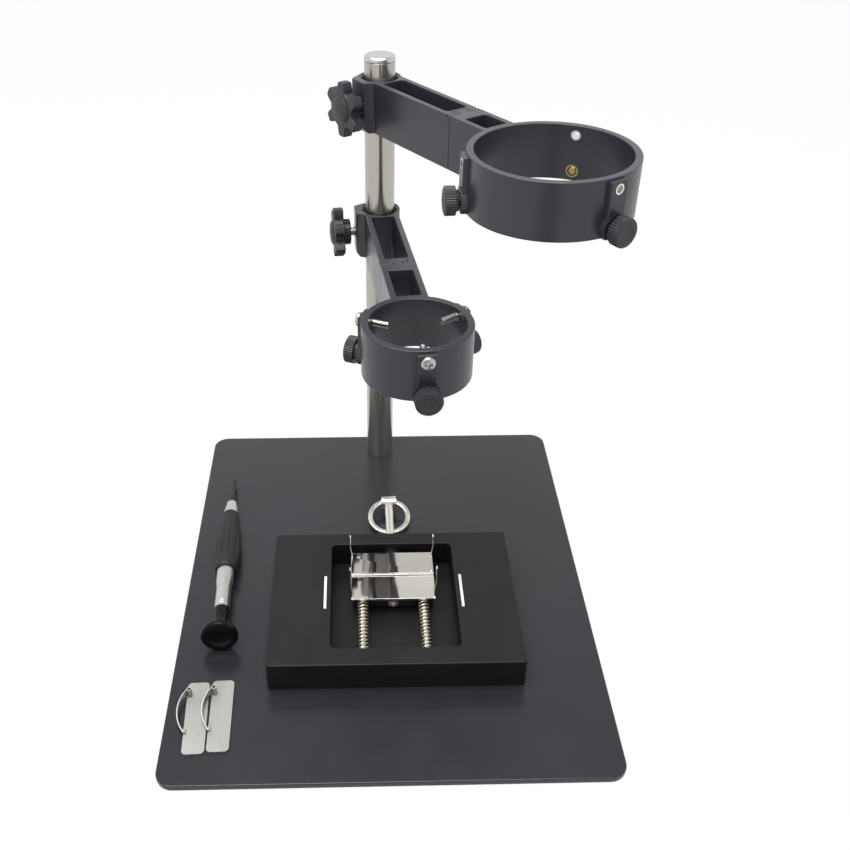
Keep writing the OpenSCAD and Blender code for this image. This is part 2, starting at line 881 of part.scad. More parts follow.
module push_rod() {
  y0 = blk_y + 3.1;
  color([0.78, 0.77, 0.75])
    at_jig()
      translate([0, 0, rod_z])
        difference() {
          union() {
            along_y(y0)
              cylinder(r = rod_r, h = eye_y - 0.41 * eye_d - y0);
            translate([-eye_t / 2, eye_y, 0])
              rotate([0, 90, 0])
                cylinder(d = eye_d, h = eye_t);
          }
          translate([-eye_t, eye_y, 0])
            rotate([0, 90, 0])
              cylinder(r = eye_r, h = 2 * eye_t);
          along_y(y0 - cut)
            cylinder(r = jscrew_r - 0.03, h = 8);
        }
}

module rod_screw() {
  color([0.75, 0.75, 0.76])
    at_jig()
      translate([0, blk_y - snug, rod_z])
        rotate([90, 0, 0])
          pan_screw(1.1 * jscrew_d, 0.76 * jscrew_d, jscrew_r - run, 10);
}

module pull_ring() {
  w = loop_wire / 2;
  h = loop_h / 2;
  c = 0.5;
  color([0.78, 0.77, 0.75])
    at_jig()
      translate([0, eye_y, rod_z])
        rotate([loop_tilt, 0, 0])
          translate([0, loop_sag / 2 - loop_r, 0])
            rotate_extrude()
              polygon([[loop_r - w, c - h], [loop_r - w + c, -h], [loop_r + w - c, -h], [loop_r + w, c - h],
                       [loop_r + w, h - c], [loop_r + w - c, h], [loop_r - w + c, h], [loop_r - w, h - c]]);
}

// Helical wire along Y, a closed sweep of six-sided rings
module coil(x, y0, y1) {
  seg = 14;
  m = 6;
  w = wire_d / 2;
  n = coils * seg;
  pts = [for (i = [0:n], j = [0:m - 1])
    let (a = 360 * i / seg, q = 360 * j / m, rr = coil_d / 2 + w * cos(q))
    [x + rr * cos(a), y0 + w + (y1 - y0 - 2 * w) * i / n + w * sin(q), rr * sin(a)]];
  side = [for (i = [0:n - 1], j = [0:m - 1], t = [0, 1])
    let (j2 = (j + 1) % m)
    t == 0 ? [i * m + j, (i + 1) * m + j2, i * m + j2]
           : [i * m + j, (i + 1) * m + j, (i + 1) * m + j2]];
  cap0 = [[for (j = [0:m - 1]) j]];
  cap1 = [[for (j = [m - 1:-1:0]) n * m + j]];
  polyhedron(points = pts, faces = concat(side, cap0, cap1));
}

module jaw_springs() {
  color([0.75, 0.72, 0.66])
    at_jig()
      for (s = [-1, 1])
        translate([0, 0, rod_z])
          coil(s * grod_x, rec_f + 0.1, blk_y - 0.1);
}

// Driver, in its own frame: Z along the axis from cap to tip, resting on cap rim and grip
module at_driver() {
  lift = cap_d / 2 * cos(drv_tilt) + rim_s * sin(drv_tilt) + seat;
  translate([drv_x, drv_y, top + lift])
    rotate([0, 0, drv_turn])
      rotate([-90 - drv_tilt, 0, 0])
        rotate([0, 0, 180])
          children();
}

module driver_blade() {
  step_s = blade_s + 0.26 * blade_l;
  tr = tip_d / 2;
  color([0.12, 0.12, 0.13])
    at_driver()
      difference() {
        rotate_extrude()
          polygon([[0, ferrule_s - 15], [blade_r, ferrule_s - 15], [blade_r, step_s], [tr, step_s + 2],
                   [tr, tip_s - 3.5], [0.4 * tr, tip_s], [0, tip_s]]);
        for (a = [45, 135])
          rotate([0, 0, a])
            for (s = [-1, 1])
              translate([s * tr, 0, tip_s - 2.5])
                cylinder(r = 0.44 * tr, h = 3);
      }
}

module driver_ferrule() {
  color([0.8, 0.8, 0.8])
    at_driver()
      difference() {
        rotate_extrude()
          polygon([[0, ferrule_s - 7], [core_r, ferrule_s - 7], [core_r, ferrule_s],
                   [core_r + 0.9, ferrule_s], [core_r + 0.9, ferrule_s + 0.2 * ferrule_l],
                   [core_r - 0.1, blade_s], [0, blade_s]]);
        translate([0, 0, ferrule_s - 7 - cut])
          cylinder(r = blade_r + snug, h = ferrule_l + 7 + 2 * cut);
      }
}

module driver_grip() {
  gr = grip_d / 2;
  nose = core_r + 1.3;
  color([0.08, 0.08, 0.09])
    at_driver()
      difference() {
        translate([0, 0, grip_s])
          rotate_extrude()
            polygon([[0, 0], [barrel_r + 0.8, 0], [barrel_r + 1.5, 0.03 * grip_l], [gr - 0.3, 0.2 * grip_l],
                     [gr, 0.31 * grip_l], [gr, 0.44 * grip_l], [gr - 0.5, 0.61 * grip_l],
                     [gr - 1.5, 0.81 * grip_l], [nose, grip_l], [0, grip_l]]);
        translate([0, 0, grip_s - cut])
          cylinder(r = blade_r + snug, h = grip_l + 2 * cut);
        translate([0, 0, ferrule_s - 7 - seat])
          cylinder(r = core_r + snug, h = 10);
        translate([0, 0, grip_s - cut])
          cylinder(r = core_r + snug, h = cut + 9.4);
        for (k = [0:flutes - 1])
          rotate([0, 0, 90 + 360 / flutes * (k + 0.5)])
            translate([gr + 0.65, 0, grip_s + 0.06 * grip_l])
              cylinder(r = 1.5, h = 0.84 * grip_l, $fn = 24);
      }
}

module driver_barrel() {
  br = barrel_r;
  waist = br - 0.5;
  groove = waist - 0.25;
  color([0.8, 0.8, 0.8])
    at_driver()
      difference() {
        translate([0, 0, barrel_s])
          rotate_extrude()
            polygon([[0, 0], [waist, 0], [waist, 1.6], [groove, 1.7], [groove, 2.1], [waist, 2.2],
                     [waist, 3.2], [groove, 3.3], [groove, 3.7], [waist, 3.8], [waist, 0.53 * barrel_l],
                     [br, 0.67 * barrel_l], [br, barrel_l], [core_r, barrel_l], [core_r, barrel_l + 9],
                     [0, barrel_l + 9]]);
        translate([0, 0, barrel_s - cut])
          cylinder(r = core_r - 0.5 + snug, h = cut + 7);
      }
}

module driver_neck() {
  nr = barrel_r - 0.4;
  color([0.08, 0.08, 0.09])
    at_driver()
      difference() {
        translate([0, 0, neck_s])
          rotate_extrude()
            polygon([[0, 0], [nr + 0.6, 0], [nr + 0.2, 0.2 * neck_l], [nr, 0.5 * neck_l], [nr, neck_l],
                     [core_r - 0.5, neck_l], [core_r - 0.5, neck_l + 6], [0, neck_l + 6]]);
        translate([0, 0, neck_s - cut])
          cylinder(r = pin_r + run, h = neck_l + 2 * cut);
      }
}

module driver_cap() {
  cr = cap_d / 2;
  pin_s = neck_s + neck_l + 0.5;
  color([0.06, 0.06, 0.07])
    at_driver()
      rotate_extrude()
        polygon([[0, 1.7], [0.3 * cr, 1.6], [0.52 * cr, 1.2], [0.62 * cr, 0.3], [0.7 * cr, 0],
                 [cr - 1.1, 0.1], [cr - 0.3, 0.5], [cr, 1.2], [cr, rim_s], [cr - 0.8, rim_s + 0.5],
                 [0.73 * cr, 0.58 * cap_l], [0.6 * cr, 0.78 * cap_l], [barrel_r + 0.4, cap_l],
                 [pin_r, cap_l], [pin_r, pin_s], [0, pin_s]]);
}

// Clip plate with a bowed leaf along its left edge, held at the front, its free end curled
module clip(x, y, a) {
  half = leaf_l / 2;
  foot = 2.4;
  low = 1;
  curl = 1.2;
  lr = (half * half + leaf_b * leaf_b) / (2 * leaf_b);
  color([0.78, 0.78, 0.78])
    translate([x, y, top + snug])
      rotate([0, 0, a]) {
        linear_extrude(clip_t)
          rrect(clip_w, clip_l, clip_r);
        translate([-clip_w / 2, 1.9, 0]) {
          intersection() {
            translate([0, 0, clip_t + free])
              linear_extrude(leaf_h)
                union() {
                  intersection() {
                    translate([lr - leaf_b, 0])
                      difference() {
                        circle(r = lr, $fn = 160);
                        circle(r = lr - leaf_t, $fn = 160);
                      }
                    translate([-2 * clip_w, -half])
                      square([2 * clip_w + leaf_t + 0.1, 2 * half]);
                  }
                  translate([curl, half])
                    difference() {
                      circle(r = curl);
                      circle(r = curl - leaf_t);
                    }
                }
            translate([-clip_w, 0, clip_t])
              rotate([90, 0, 90])
                linear_extrude(2 * clip_w)
                  polygon([[-half - cut, 0], [half + 2 * curl, 0], [half + 2 * curl, free + leaf_h],
                           [half - 2 * curl, free + leaf_h], [-half - cut, free + low]]);
          }
          translate([0, -half, clip_t - 0.1])
            cube([1, foot, free + low]);
        }
      }
}

// One module a node for the pieces that are placed more than once
module upper_bush() { bush(z_up, upper_swing); }
module upper_arm() { arm_half(z_up, upper_swing); }
module upper_ring() { ring_half(z_up, upper_swing, ru); }
module upper_clamp_nut() { clamp_nut(z_up, upper_swing); }
module upper_inserts() { inserts(z_up, upper_swing, ru, true); }
module upper_bushings() { inserts(z_up, upper_swing, ru, false); }
module upper_knob() { star(z_up, upper_swing, upper_off); }
module upper_knob_stud() { knob_stud(z_up, upper_swing, upper_off); }
module upper_thumb_1() { thumb(z_up, upper_swing, ru, 1); }
module upper_thumb_2() { thumb(z_up, upper_swing, ru, 2); }
module upper_thumb_3() { thumb(z_up, upper_swing, ru, 3); }
module upper_stud_1() { thumb_stud(z_up, upper_swing, ru, 1); }
module upper_stud_2() { thumb_stud(z_up, upper_swing, ru, 2); }
module upper_stud_3() { thumb_stud(z_up, upper_swing, ru, 3); }
module lower_bush() { bush(z_lo, lower_swing); }
module lower_arm() { arm_half(z_lo, lower_swing); }
module lower_ring() { ring_half(z_lo, lower_swing, rl); }
module lower_clamp_nut() { clamp_nut(z_lo, lower_swing); }
module lower_inserts() { inserts(z_lo, lower_swing, rl, true); }
module lower_bushings() { inserts(z_lo, lower_swing, rl, false); }
module lower_knob() { star(z_lo, lower_swing, lower_off); }
module lower_knob_stud() { knob_stud(z_lo, lower_swing, lower_off); }
module lower_thumb_1() { thumb(z_lo, lower_swing, rl, 1); }
module lower_thumb_2() { thumb(z_lo, lower_swing, rl, 2); }
module lower_thumb_3() { thumb(z_lo, lower_swing, rl, 3); }
module lower_stud_1() { thumb_stud(z_lo, lower_swing, rl, 1); }
module lower_stud_2() { thumb_stud(z_lo, lower_swing, rl, 2); }
module lower_stud_3() { thumb_stud(z_lo, lower_swing, rl, 3); }
module lower_screw_1() { set_screw(z_lo, lower_swing, rl, 1); }
module lower_screw_2() { set_screw(z_lo, lower_swing, rl, 2); }
module lower_screw_3() { set_screw(z_lo, lower_swing, rl, 3); }
module clip_left() { clip(clip_x, clip_y, clip_a); }
module clip_right() { clip(clip_x + clip_dx, clip_y + clip_dy, clip_b); }

base_plate();
post_tube();
post_cap();
post_plug();
post_screw();
upper_bush();
upper_arm();
upper_ring();
upper_clamp_nut();
upper_inserts();
upper_bushings();
upper_knob();
upper_knob_stud();
upper_thumb_1();
upper_thumb_2();
upper_thumb_3();
upper_stud_1();
upper_stud_2();
upper_stud_3();
lower_bush();
lower_arm();
lower_ring();
lower_clamp_nut();
lower_inserts();
lower_bushings();
lower_knob();
lower_knob_stud();
lower_thumb_1();
lower_thumb_2();
lower_thumb_3();
lower_stud_1();
lower_stud_2();
lower_stud_3();
lower_screw_1();
lower_screw_2();
lower_screw_3();
jig_body();
slot_strips();
guide_rods();
rod_guide();
rear_jaw_block();
rear_jaw_plate();
rear_jaw_screws();
jaw_springs();
front_jaw_block();
front_jaw_plate();
front_jaw_screws();
push_rod();
rod_screw();
pull_ring();
driver_blade();
driver_ferrule();
driver_grip();
driver_barrel();
driver_neck();
driver_cap();
clip_left();
clip_right();
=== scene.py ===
import json
import math

import bpy
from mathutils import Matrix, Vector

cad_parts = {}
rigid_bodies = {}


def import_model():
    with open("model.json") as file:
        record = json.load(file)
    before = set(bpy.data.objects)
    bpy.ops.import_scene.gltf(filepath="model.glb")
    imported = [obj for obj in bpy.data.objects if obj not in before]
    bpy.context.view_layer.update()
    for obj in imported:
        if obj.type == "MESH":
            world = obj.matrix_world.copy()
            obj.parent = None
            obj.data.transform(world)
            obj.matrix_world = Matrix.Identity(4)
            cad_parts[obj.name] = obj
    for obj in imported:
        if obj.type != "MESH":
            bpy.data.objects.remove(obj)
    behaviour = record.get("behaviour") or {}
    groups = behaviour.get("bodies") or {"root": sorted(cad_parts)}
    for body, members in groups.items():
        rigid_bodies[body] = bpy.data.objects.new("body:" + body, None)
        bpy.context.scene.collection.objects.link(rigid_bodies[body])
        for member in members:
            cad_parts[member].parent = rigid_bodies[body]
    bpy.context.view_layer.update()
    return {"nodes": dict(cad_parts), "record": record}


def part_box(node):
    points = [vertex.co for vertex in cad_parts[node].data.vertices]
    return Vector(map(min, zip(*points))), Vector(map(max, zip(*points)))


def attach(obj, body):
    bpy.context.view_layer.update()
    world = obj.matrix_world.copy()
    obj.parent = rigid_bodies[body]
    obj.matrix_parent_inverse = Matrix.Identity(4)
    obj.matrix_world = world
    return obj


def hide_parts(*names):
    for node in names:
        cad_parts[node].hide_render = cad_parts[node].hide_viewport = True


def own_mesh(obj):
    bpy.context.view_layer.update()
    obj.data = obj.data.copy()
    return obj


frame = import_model()

# Base plate: a sheet of mild steel, laser cut with rounded corners and sprayed in a
# satin charcoal paint. It carries the post and lies flat on the bench.
MM = 0.001
LONG_EDGE = 4 * MM
RIM_BAND = 0.02 * MM
ROOM = 2.2
WELD_GAP = 0.001 * MM
SLIVER = 0.0005 * MM
FLAT_TURN = math.radians(0.4)


def roomy_edges(mesh, sharp, room, outline):
    """A weight of 1 for each sharp edge with room to be rounded, or only for those on the outline."""
    sides = {}
    for face in mesh.polygons:
        for key in face.edge_keys:
            sides.setdefault(key, []).append(face)
    heights = [corner.co.z for corner in mesh.vertices]
    low = min(heights) + RIM_BAND
    high = max(heights) - RIM_BAND
    weights = []
    for edge in mesh.edges:
        start, end = (mesh.vertices[i].co for i in edge.vertices)
        faces = sides[edge.key]
        rim = max(start.z, end.z) < low or min(start.z, end.z) > high
        taken = rim or (end - start).length > LONG_EDGE or not outline
        weight = 0.0
        if taken and len(faces) == 2 and faces[0].normal.angle(faces[1].normal) > sharp:
            line = (end - start).normalized()
            depths = []
            for face in faces:
                reach = [mesh.vertices[i].co - start for i in face.vertices]
                depths.append(max((step - line * step.dot(line)).length for step in reach))
            if min(depths) > room:
                weight = 1.0
        weights.append(weight)
    return weights


def soften(piece, node, body, round_mm, steps=3, sharp=32, edges="all"):
    """A copy of a node with its sharp edges rounded as the mould or the paint leaves them."""
    bpy.ops.object.select_all(action="DESELECT")
    solid = frame["nodes"][node]
    solid.select_set(True)
    bpy.context.view_layer.objects.active = solid
    bpy.ops.object.duplicate()
    copy = bpy.context.object
    copy.name = piece
    bpy.ops.object.parent_clear(type="CLEAR_KEEP_TRANSFORM")
    bpy.ops.mesh.customdata_custom_splitnormals_clear()
    bpy.ops.object.mode_set(mode="EDIT")
    bpy.ops.mesh.select_all(action="SELECT")
    bpy.ops.mesh.remove_doubles(threshold=WELD_GAP)
    bpy.ops.mesh.dissolve_limited(angle_limit=FLAT_TURN)
    bpy.ops.object.mode_set(mode="OBJECT")
    edge = copy.modifiers.new("edge", "BEVEL")
    edge.width = round_mm * MM
    edge.segments = steps
    if edges == "all":
        edge.limit_method = "ANGLE"
        edge.angle_limit = math.radians(sharp)
    else:
        room = ROOM * round_mm * MM
        weights = roomy_edges(copy.data, math.radians(sharp), room, edges == "outline")
        layer = copy.data.attributes.new("bevel_weight_edge", "FLOAT", "EDGE")
        layer.data.foreach_set("value", weights)
        edge.limit_method = "WEIGHT"
        edge.use_clamp_overlap = False
        edge.loop_slide = False
    bpy.ops.object.modifier_apply(modifier=edge.name)
    bpy.ops.object.mode_set(mode="EDIT")
    bpy.ops.mesh.select_all(action="SELECT")
    bpy.ops.mesh.dissolve_degenerate(threshold=SLIVER)
    bpy.ops.object.mode_set(mode="OBJECT")
    bpy.ops.object.shade_smooth_by_angle(angle=math.radians(sharp))
    even = copy.modifiers.new("even", "WEIGHTED_NORMAL")
    even.keep_sharp = True
    bpy.ops.object.modifier_apply(modifier=even.name)
    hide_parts(node)
    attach(copy, body)
    return copy


def uneven_group():
    """Cloudy patches, fine grain and a few stray specks, on the piece's own coordinates."""
    group = bpy.data.node_groups.new("uneven_surface", "ShaderNodeTree")
    face = group.interface
    for name, kind in (("Vector", "Vector"), ("Patch Scale", "Float"), ("Grain Scale", "Float"),
                       ("Low", "Float"), ("High", "Float")):
        face.new_socket(name, in_out="INPUT", socket_type="NodeSocket" + kind)
    for name in ("Patch", "Grain", "Rough", "Speck"):
        face.new_socket(name, in_out="OUTPUT", socket_type="NodeSocketFloat")
    nodes = group.nodes
    links = group.links
    came = nodes.new("NodeGroupInput")
    goes = nodes.new("NodeGroupOutput")
    patch = nodes.new("ShaderNodeTexNoise")
    patch.inputs["Detail"].default_value = 5
    patch.inputs["Roughness"].default_value = 0.6
    grain = nodes.new("ShaderNodeTexNoise")
    grain.inputs["Detail"].default_value = 3
    spread = nodes.new("ShaderNodeMapRange")
    spread.inputs["From Min"].default_value = 0.3
    spread.inputs["From Max"].default_value = 0.7
    cells = nodes.new("ShaderNodeTexVoronoi")
    cells.inputs["Scale"].default_value = 130
    dot = nodes.new("ShaderNodeMapRange")
    dot.inputs["From Min"].default_value = 0.05
    dot.inputs["From Max"].default_value = 0.02
    few = nodes.new("ShaderNodeMapRange")
    few.inputs["From Min"].default_value = 0.80
    few.inputs["From Max"].default_value = 1.0
    both = nodes.new("ShaderNodeMath")
    both.operation = "MULTIPLY"
    links.new(came.outputs["Vector"], patch.inputs["Vector"])
    links.new(came.outputs["Vector"], grain.inputs["Vector"])
    links.new(came.outputs["Vector"], cells.inputs["Vector"])
    links.new(came.outputs["Patch Scale"], patch.inputs["Scale"])
    links.new(came.outputs["Grain Scale"], grain.inputs["Scale"])
    links.new(came.outputs["Low"], spread.inputs["To Min"])
    links.new(came.outputs["High"], spread.inputs["To Max"])
    links.new(patch.outputs["Fac"], spread.inputs["Value"])
    links.new(cells.outputs["Distance"], dot.inputs["Value"])
    links.new(cells.outputs["Color"], few.inputs["Value"])
    links.new(dot.outputs["Result"], both.inputs[0])
    links.new(few.outputs["Result"], both.inputs[1])
    links.new(patch.outputs["Fac"], goes.inputs["Patch"])
    links.new(grain.outputs["Fac"], goes.inputs["Grain"])
    links.new(spread.outputs["Result"], goes.inputs["Rough"])
    links.new(both.outputs["Value"], goes.inputs["Speck"])
    return group


UNEVEN = uneven_group()


def surface(name, dark, light, rough, metallic=0.0, patch=40, grain=2500, depth_mm=0.004, stretch=(1, 1, 1),
            coat=0.0, specular=0.5, dust=None):
    """A finish whose colour and gloss drift in patches, with a fine grain raised on it."""
    finish = bpy.data.materials.new(name)
    finish.use_nodes = True
    nodes = finish.node_tree.nodes
    links = finish.node_tree.links
    shader = nodes["Principled BSDF"]
    shader.inputs["Metallic"].default_value = metallic
    shader.inputs["Coat Weight"].default_value = coat
    shader.inputs["Specular IOR Level"].default_value = specular
    place = nodes.new("ShaderNodeTexCoord")
    turn = nodes.new("ShaderNodeMapping")
    turn.inputs["Scale"].default_value = stretch
    uneven = nodes.new("ShaderNodeGroup")
    uneven.node_tree = UNEVEN
    uneven.inputs["Patch Scale"].default_value = patch
    uneven.inputs["Grain Scale"].default_value = grain
    uneven.inputs["Low"].default_value = rough[0]
    uneven.inputs["High"].default_value = rough[1]
    tint = nodes.new("ShaderNodeMix")
    tint.data_type = "RGBA"
    tint.inputs["A"].default_value = (*dark, 1)
    tint.inputs["B"].default_value = (*light, 1)
    raised = nodes.new("ShaderNodeBump")
    raised.inputs["Distance"].default_value = depth_mm * MM
    raised.inputs["Strength"].default_value = 1
    links.new(place.outputs["Object"], turn.inputs["Vector"])
    links.new(turn.outputs["Vector"], uneven.inputs["Vector"])
    links.new(uneven.outputs["Patch"], tint.inputs["Factor"])
    colour = tint.outputs["Result"]
    if dust:
        lint = nodes.new("ShaderNodeMix")
        lint.data_type = "RGBA"
        lint.inputs["B"].default_value = (*dust, 1)
        links.new(colour, lint.inputs["A"])
        links.new(uneven.outputs["Speck"], lint.inputs["Factor"])
        colour = lint.outputs["Result"]
    links.new(colour, shader.inputs["Base Color"])
    links.new(uneven.outputs["Rough"], shader.inputs["Roughness"])
    links.new(uneven.outputs["Grain"], raised.inputs["Height"])
    links.new(raised.outputs["Normal"], shader.inputs["Normal"])
    return finish


def wear(piece, finish):
    """Puts a finish on a piece of the scene or a node."""
    piece.data.materials.clear()
    piece.data.materials.append(finish)


plate_paint = surface("plate_paint", (0.014, 0.0132, 0.017), (0.020, 0.019, 0.0238), (0.20, 0.26),
                      patch=18, grain=1800, depth_mm=0.002, dust=(0.10, 0.10, 0.11))
plate = soften("plate_sheet", "base_plate", "base", 0.5, edges="outline")
wear(plate, plate_paint)

# Post: a chromed steel tube, ground round its girth so that reflections draw out upright. It has a
# turned steel cap in its top and a plug in its foot, held by one countersunk screw through the plate.
chrome = surface("post_chrome", (0.42, 0.405, 0.37), (0.48, 0.465, 0.43), (0.17, 0.23), metallic=1.0,
                 patch=60, grain=900, depth_mm=0.0004, stretch=(1, 1, 0.15))
ground = chrome.node_tree.nodes["Principled BSDF"]
ground.inputs["Anisotropic"].default_value = 0.95
ground.inputs["Anisotropic Rotation"].default_value = 0.25
turned_steel = surface("turned_steel", (0.50, 0.49, 0.47), (0.64, 0.63, 0.61), (0.22, 0.34), metallic=1.0,
                       patch=90, grain=2600, depth_mm=0.002)
wear(soften("post_shell", "post_tube", "base", 0.2), chrome)
wear(soften("post_lid", "post_cap", "base", 0.3), turned_steel)
for name in ("post_plug", "post_screw"):
    wear(frame["nodes"][name], turned_steel)

# Arms: each is moulded in two halves, a clamp half round the post and a ring half, keyed by a
# tongue. Brass nuts and bushings and nickel inserts are pressed in for the screws.
arm_black = surface("arm_black", (0.020, 0.0197, 0.0270), (0.028, 0.0277, 0.0370), (0.27, 0.36),
                    patch=30, grain=1500, depth_mm=0.003, dust=(0.2, 0.2, 0.2))
brass = surface("turned_brass", (0.28, 0.19, 0.09), (0.50, 0.37, 0.19), (0.22, 0.36), metallic=1.0,
                patch=200, grain=3000, depth_mm=0.003)
nickel = surface("bright_nickel", (0.66, 0.64, 0.60), (0.80, 0.78, 0.74), (0.14, 0.26), metallic=1.0,
                 patch=150, grain=3000, depth_mm=0.002)
nylon = surface("bush_nylon", (0.010, 0.010, 0.011), (0.016, 0.016, 0.017), (0.45, 0.6), patch=60)
for arm in ("upper", "lower"):
    body = arm + "_arm"
    wear(soften(arm + "_clamp_half", arm + "_arm", body, 0.35, edges="outline"), arm_black)
    wear(soften(arm + "_ring_half", arm + "_ring", body, 0.35, edges="outline"), arm_black)
    wear(frame["nodes"][arm + "_clamp_nut"], brass)
    wear(frame["nodes"][arm + "_bushings"], brass)
    wear(frame["nodes"][arm + "_inserts"], nickel)
    wear(frame["nodes"][arm + "_bush"], nylon)

# Star knobs: black moulded heads on threaded steel studs, one on the left of each clamp. The stud
# goes through the clamp's nut and presses the nylon bush on the post.
knob_black = surface("knob_black", (0.012, 0.0122, 0.0158), (0.019, 0.0193, 0.0240), (0.40, 0.52),
                     patch=80, grain=1200, depth_mm=0.006, dust=(0.12, 0.12, 0.12))
JOINTS = {joint["name"]: joint for joint in frame["record"]["behaviour"]["joints"]}
stud_steel = surface("stud_steel", (0.30, 0.29, 0.28), (0.42, 0.41, 0.40), (0.26, 0.36), metallic=1.0,
                     patch=150)
STUD_R = 2.0 * MM
STUD_PITCH = 0.7 * MM
STUD_SUNK = 5.94 * MM
STUD_BARE = {"upper": 1.0 * MM, "lower": 2.6 * MM}
RIDGE_SHARE = 0.2
RIDGE_PROUD = 0.4
RIDGE_CORNERS = 3
RIDGE_STEPS = 24
RIDGE_SHARP = math.radians(30)


def along(node, joint):
    """How far a shank reaches along the axis that it turns on, inwards and outwards."""
    point = JOINTS[joint]["pos_m"]
    aim = JOINTS[joint]["axis"]
    solid = frame["nodes"][node]
    places = [solid.matrix_world @ corner.co for corner in solid.data.vertices]
    reach = [sum((place[i] - point[i]) * aim[i] for i in range(3)) for place in places]
    return min(reach), max(reach)


def thread(piece, body, joint, radius, pitch, start, run, finish):
    """A screw thread: a V-shaped ridge wound on a bare length of shank."""
    point = JOINTS[joint]["pos_m"]
    aim = JOINTS[joint]["axis"]
    height = RIDGE_SHARE * pitch
    bpy.ops.object.select_all(action="DESELECT")
    bpy.ops.mesh.primitive_circle_add(vertices=RIDGE_CORNERS, radius=height,
                                      location=(radius + RIDGE_PROUD * height, 0, height),
                                      rotation=(math.radians(90), math.radians(90), 0))
    ridge = bpy.context.object
    ridge.name = piece
    bpy.ops.object.transform_apply(location=True, rotation=True)
    wind = ridge.modifiers.new("wind", "SCREW")
    wind.screw_offset = pitch
    wind.iterations = int((run - 2 * height) / pitch)
    wind.steps = RIDGE_STEPS
    wind.render_steps = RIDGE_STEPS
    bpy.ops.object.modifier_apply(modifier=wind.name)
    bpy.ops.object.mode_set(mode="EDIT")
    bpy.ops.mesh.select_all(action="SELECT")
    bpy.ops.mesh.fill_holes(sides=RIDGE_CORNERS)
    bpy.ops.mesh.normals_make_consistent(inside=False)
    bpy.ops.object.mode_set(mode="OBJECT")
    ridge.rotation_euler = (0, math.radians(90), math.atan2(aim[1], aim[0]))
    ridge.location = [point[i] + start * aim[i] for i in range(3)]
    bpy.ops.object.transform_apply(location=True, rotation=True)
    bpy.ops.object.shade_smooth_by_angle(angle=RIDGE_SHARP)
    wear(ridge, finish)
    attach(ridge, body)


for arm in ("upper", "lower"):
    body = arm + "_knob"
    stud = arm + "_knob_stud"
    wear(soften(arm + "_star", body, body, 0.6, edges="roomy"), knob_black)
    wear(frame["nodes"][stud], stud_steel)
    stud_end = along(stud, body + "_turn")[1]
    thread(stud + "_thread", body, body + "_turn", STUD_R, STUD_PITCH,
           stud_end - STUD_SUNK - STUD_BARE[arm], STUD_BARE[arm], stud_steel)

# Thumbscrews: knurled black heads moulded on brass studs, in the lower hole of each ring's pads.
# They turn in the brass bushings.
for arm in ("upper", "lower"):
    for place in (1, 2, 3):
        body = f"{arm}_thumb_{place}"
        wear(soften(f"{body}_head", body, body, 0.15, steps=2, edges="roomy"), knob_black)
        wear(frame["nodes"][f"{arm}_stud_{place}"], brass)

# Ring screws: zinc plated pan-head screws in the upper hole of the small ring's pads. Their threads
# reach into the bore, where the tips grip a handle.
screw_zinc = surface("screw_zinc", (0.42, 0.41, 0.40), (0.55, 0.54, 0.52), (0.24, 0.34), metallic=1.0,
                     patch=150)
SCREW_R = 1.4 * MM
SCREW_PITCH = 0.5 * MM
SCREW_BARE = 7.6 * MM
SCREW_TIP = 0.1 * MM
for place in (1, 2, 3):
    name = f"lower_screw_{place}"
    wear(soften(f"{name}_pan", name, name, 0.12, steps=2, edges="roomy"), screw_zinc)
    thread(f"{name}_thread", name, name + "_turn", SCREW_R, SCREW_PITCH,
           along(name, name + "_turn")[0] + SCREW_TIP, SCREW_BARE, screw_zinc)

# Chip jig: a moulded black block with a recess, and a thin steel strip in a slot on each side. Two
# guide rods span the recess, and the push rod's guide sits in the back wall.
jig_black = surface("jig_black", (0.0050, 0.0047, 0.0053), (0.0080, 0.0075, 0.0082), (0.36, 0.46),
                    patch=40, grain=1700, depth_mm=0.006, specular=0.28, dust=(0.10, 0.10, 0.10))
strip_steel = surface("strip_steel", (0.80, 0.79, 0.77), (0.90, 0.89, 0.87), (0.40, 0.55), metallic=1.0,
                      patch=120, grain=900, depth_mm=0.003, stretch=(1, 0.08, 1))
wear(soften("jig_block", "jig_body", "jig", 0.5, edges="outline"), jig_black)
wear(frame["nodes"]["slot_strips"], strip_steel)
for name in ("guide_rods", "rod_guide", "rear_jaw_screws"):
    wear(frame["nodes"][name], nickel)

# Jaws: mirror-bright stainless plates with bent-up ears on dark anodised blocks. The rear block is
# screwed down from under the jig, and the front one slides on the guide rods.
mirror = surface("jaw_mirror", (0.93, 0.88, 0.82), (0.98, 0.94, 0.88), (0.02, 0.06), metallic=1.0,
                 patch=70, grain=120, depth_mm=0.0015)
dark_anodised = surface("dark_anodised", (0.05, 0.05, 0.055), (0.08, 0.08, 0.085), (0.35, 0.5),
                        metallic=0.8)
for side, body in (("rear", "jig"), ("front", "front_jaw")):
    wear(soften(side + "_jaw_sheet", side + "_jaw_plate", body, 0.15, steps=2), mirror)
    wear(frame["nodes"][side + "_jaw_block"], dark_anodised)
wear(frame["nodes"]["front_jaw_screws"], nickel)
wear(soften("rod_screw_pan", "rod_screw", "front_jaw", 0.3, edges="roomy"), nickel)

# Springs: two coils of nickelled wire on the guide rods, between the jig's front wall and the
# front jaw. On the real jig they shorten towards the wall as the jaw comes forward; here they are built at
# one length and fixed to the jig.
spring_wire = surface("spring_wire", (0.60, 0.54, 0.45), (0.74, 0.68, 0.59), (0.24, 0.36), metallic=1.0,
                      patch=300, grain=3000, depth_mm=0.002)
spring_low, spring_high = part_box("jaw_springs")
WIRE_R = 0.4 * MM
COIL_R = 2.45 * MM
COILS = 17
WIRE_SIDES = 10
COIL_STEPS = 28
spring_run = spring_high[1] - spring_low[1] - 2 * WIRE_R


